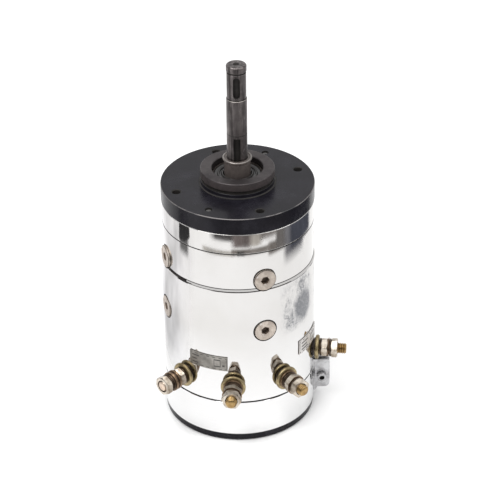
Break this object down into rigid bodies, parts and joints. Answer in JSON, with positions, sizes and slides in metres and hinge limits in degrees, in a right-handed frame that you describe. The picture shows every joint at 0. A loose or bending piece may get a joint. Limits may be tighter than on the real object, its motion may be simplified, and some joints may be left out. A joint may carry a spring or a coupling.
{
  "type": "electric motor",
  "caption": "Brushed direct-current motor with a polished cylindrical casing, black face flange, keyed stepped shaft and radial stud terminals.",
  "frame": {"origin": "centre of the rear cap's flat outer face", "axes": "+Z along the shaft to the drive end; -Y is the front, midway along the row of terminals; +X is towards the band clamp"},
  "size_m": [0.1916, 0.1851, 0.382],
  "materials": {
    "black_paint": "glossy black enamel, chipped at the edges",
    "polished_steel": "mirror-polished steel with fine turning and hand scratches",
    "screw_steel": "plain machined steel with a warm film",
    "nickel": "satin nickel plate",
    "brass": "aged brass with dark oxide in the corners",
    "insulation": "moulded phenolic",
    "label_metal": "etched and worn",
    "rubber": "oily black rubber",
    "dark_steel": "dark oiled steel with handling marks",
    "bearing_steel": "ground and lapped",
    "pole_iron": "machined soft iron",
    "core_iron": "stacked laminations",
    "field_copper": "varnished flat copper wire with tape",
    "armature_copper": "varnished copper wire",
    "commutator_copper": "turned copper with a brown brush track",
    "carbon": "pressed carbon"
  },
  "bodies": {
    "housing": {"rear_end_cap": "black_paint", "drive_end_flange": "black_paint", "yoke_tube": "polished_steel", "drive_end_ring": "polished_steel", "brush_cover_band": "polished_steel", "tie_rod_1": "screw_steel", "tie_rod_2": "screw_steel", "band_clamp_screw": "nickel", "band_clamp_nut": "nickel", "label_plate_left": "label_metal", "label_plate_right": "label_metal", "pole_shoe_1": "pole_iron", "pole_screw_1_lower": "screw_steel", "pole_screw_1_upper": "screw_steel", "pole_shoe_2": "pole_iron", "pole_screw_2_lower": "screw_steel", "pole_screw_2_upper": "screw_steel", "pole_shoe_3": "pole_iron", "pole_screw_3_lower": "screw_steel", "pole_screw_3_upper": "screw_steel", "pole_shoe_4": "pole_iron", "pole_screw_4_lower": "screw_steel", "pole_screw_4_upper": "screw_steel", "field_winding": "field_copper", "terminal_a_stud": "brass", "terminal_a_washer": "brass", "terminal_a_insulator": "insulation", "terminal_a_inner_nut": "nickel", "terminal_a_outer_nut": "nickel", "terminal_b_stud": "brass", "terminal_b_washer": "brass", "terminal_b_insulator": "insulation", "terminal_b_inner_nut": "nickel", "terminal_b_outer_nut": "nickel", "terminal_c_stud": "brass", "terminal_c_washer": "brass", "terminal_c_insulator": "insulation", "terminal_c_inner_nut": "nickel", "terminal_c_outer_nut": "nickel", "terminal_d_stud": "brass", "terminal_d_washer": "brass", "terminal_d_insulator": "insulation", "terminal_d_inner_nut": "nickel", "terminal_d_outer_nut": "nickel", "brush_ring": "insulation", "shaft_seal": "rubber", "rear_bearing_outer_race": "bearing_steel", "drive_bearing_outer_race": "bearing_steel"},
    "armature": {"shaft": "dark_steel", "shaft_collar": "dark_steel", "armature_core": "core_iron", "armature_winding": "armature_copper", "commutator": "commutator_copper", "rear_bearing_inner_race": "bearing_steel", "drive_bearing_inner_race": "bearing_steel"},
    "brush_1": {"carbon_brush_1": "carbon"},
    "brush_2": {"carbon_brush_2": "carbon"},
    "brush_3": {"carbon_brush_3": "carbon"},
    "brush_4": {"carbon_brush_4": "carbon"}
  },
  "joints": [
    {"name": "armature_spin", "type": "hinge", "parent": "housing", "child": "armature", "pos_m": [0, 0, 0.257], "axis": [0, 0, 1], "continuous": true},
    {"name": "brush_1_slide", "type": "slide", "parent": "housing", "child": "brush_1", "axis": [0.9426, 0.3338, 0], "range_m": [0, 0.008], "stiffness_N_per_m": 600, "springref_m": -0.01},
    {"name": "brush_2_slide", "type": "slide", "parent": "housing", "child": "brush_2", "axis": [-0.3338, 0.9426, 0], "range_m": [0, 0.008], "stiffness_N_per_m": 600, "springref_m": -0.01},
    {"name": "brush_3_slide", "type": "slide", "parent": "housing", "child": "brush_3", "axis": [-0.9426, -0.3338, 0], "range_m": [0, 0.008], "stiffness_N_per_m": 600, "springref_m": -0.01},
    {"name": "brush_4_slide", "type": "slide", "parent": "housing", "child": "brush_4", "axis": [0.3338, -0.9426, 0], "range_m": [0, 0.008], "stiffness_N_per_m": 600, "springref_m": -0.01}
  ]
}
